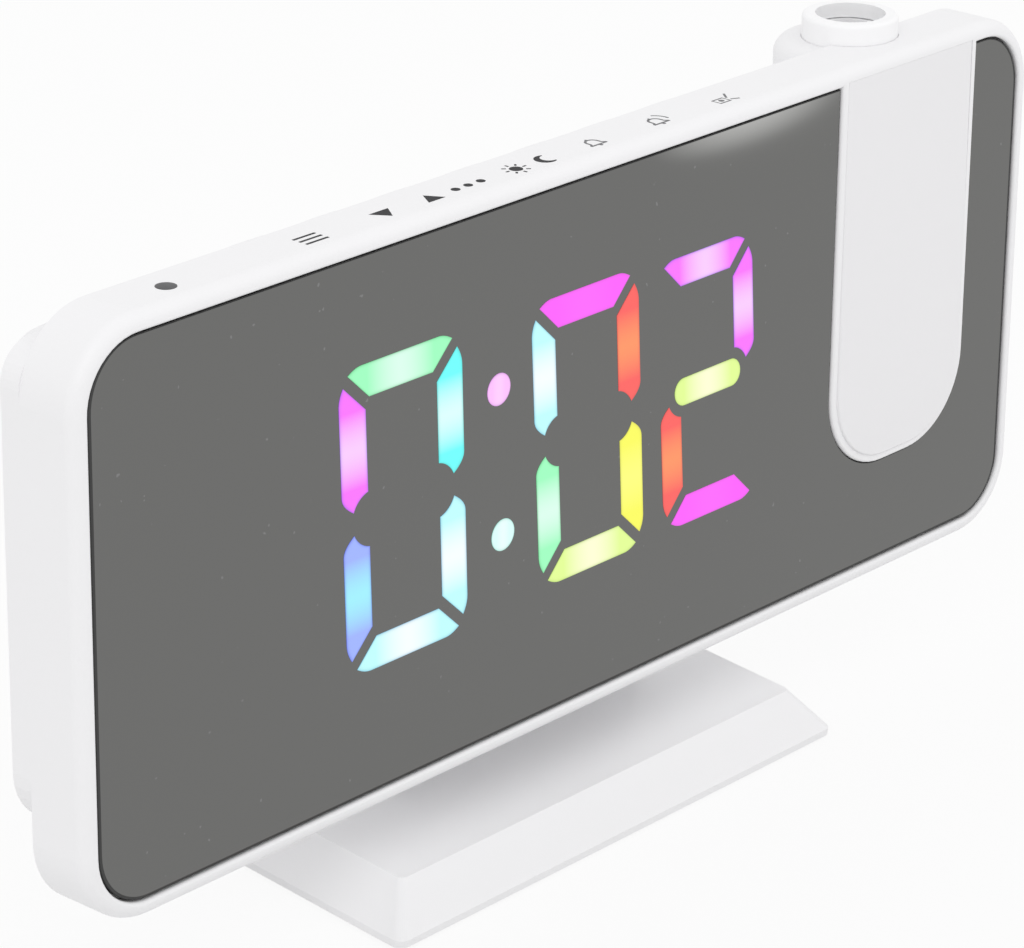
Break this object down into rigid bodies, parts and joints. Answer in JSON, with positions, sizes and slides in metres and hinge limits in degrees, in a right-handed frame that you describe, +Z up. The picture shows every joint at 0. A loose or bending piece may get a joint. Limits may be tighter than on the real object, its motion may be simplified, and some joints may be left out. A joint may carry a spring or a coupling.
{
  "type": "projection alarm clock",
  "caption": "Mirror-faced alarm clock on a bevelled foot, with coloured segment digits behind the mirror, a row of keys along the top and a focusing projector turret.",
  "frame": {"origin": "on the table under the middle of the foot", "axes": "+X to the viewer's right, +Y to the rear of the clock, +Z up"},
  "size_m": [0.1832, 0.045, 0.095],
  "materials": {
    "white_plastic": "smooth moulded white, soft gloss",
    "strip_plastic": "smooth moulded white, soft gloss",
    "mirror_grey": "half-silvered dark mirror",
    "black_film": "matt black film",
    "light_box_white": "matt reflective white",
    "board_green": "solder mask over glass fibre",
    "led_body": "phosphor resin",
    "dark_plastic": "matt dark grey",
    "clear_lens": "clear moulded lens",
    "slide_glass": "liquid crystal slide",
    "steel": "zinc-plated steel",
    "contact_brass": "sprung contact sheet",
    "pad_rubber": "matt rubber",
    "ribbon": "flat ribbon cable",
    "wire_red": "insulated wire"
  },
  "bodies": {
    "case": {"front_frame": "white_plastic", "strip_cover": "strip_plastic", "mirror_panel": "mirror_grey", "segment_mask": "black_film", "light_box": "light_box_white", "display_board": "board_green", "display_leds": "led_body", "rear_shell": "white_plastic", "key_board": "board_green", "tact_switches": "dark_plastic", "key_ribbon": "ribbon", "projector_tube": "white_plastic", "projection_slide": "slide_glass", "projection_led": "led_body", "projector_board": "board_green", "projector_wires": "wire_red", "coin_cell": "steel", "battery_clip": "contact_brass", "dc_socket": "dark_plastic", "usb_socket": "steel", "buzzer": "dark_plastic", "light_sensor": "dark_plastic", "stand": "white_plastic", "rubber_feet": "pad_rubber", "housing_screws": "steel", "board_screws": "steel", "stand_screws": "steel"},
    "key_set": {"key_set": "white_plastic"},
    "key_down": {"key_down": "white_plastic"},
    "key_up": {"key_up": "white_plastic"},
    "key_light": {"key_light": "white_plastic"},
    "key_alarm_1": {"key_alarm_1": "white_plastic"},
    "key_alarm_2": {"key_alarm_2": "white_plastic"},
    "key_projection": {"key_projection": "white_plastic"},
    "focus_ring": {"focus_ring": "white_plastic"},
    "lens_carrier": {"lens_cell": "white_plastic", "projection_lens": "clear_lens"},
    "battery_cover": {"battery_cover": "white_plastic"}
  },
  "joints": [
    {"name": "key_set_press", "type": "slide", "parent": "case", "child": "key_set", "axis": [0, -0.0941, -0.9956], "range_m": [0, 0.0005], "stiffness_N_per_m": 800},
    {"name": "key_down_press", "type": "slide", "parent": "case", "child": "key_down", "axis": [0, -0.0941, -0.9956], "range_m": [0, 0.0005], "stiffness_N_per_m": 800},
    {"name": "key_up_press", "type": "slide", "parent": "case", "child": "key_up", "axis": [0, -0.0941, -0.9956], "range_m": [0, 0.0005], "stiffness_N_per_m": 800},
    {"name": "key_light_press", "type": "slide", "parent": "case", "child": "key_light", "axis": [0, -0.0941, -0.9956], "range_m": [0, 0.0005], "stiffness_N_per_m": 800},
    {"name": "key_alarm_1_press", "type": "slide", "parent": "case", "child": "key_alarm_1", "axis": [0, -0.0941, -0.9956], "range_m": [0, 0.0005], "stiffness_N_per_m": 800},
    {"name": "key_alarm_2_press", "type": "slide", "parent": "case", "child": "key_alarm_2", "axis": [0, -0.0941, -0.9956], "range_m": [0, 0.0005], "stiffness_N_per_m": 800},
    {"name": "key_projection_press", "type": "slide", "parent": "case", "child": "key_projection", "axis": [0, -0.0941, -0.9956], "range_m": [0, 0.0005], "stiffness_N_per_m": 800},
    {"name": "focus_turn", "type": "hinge", "parent": "case", "child": "focus_ring", "pos_m": [0.0638, 0.00208, 0.0835], "axis": [0, 0.0941, 0.9956], "range_deg": [-60.5, 60.5]},
    {"name": "lens_focus", "type": "slide", "parent": "case", "child": "lens_carrier", "axis": [0, 0.0941, 0.9956], "range_m": [-0.0012, 0.0012]},
    {"name": "battery_cover_lift", "type": "slide", "parent": "case", "child": "battery_cover", "axis": [0, 0.9956, -0.0941], "range_m": [0, 0.015]}
  ],
  "couplings": [
    {"joint": "focus_turn", "follows": "lens_focus", "rad_per_m": 872.66}
  ]
}
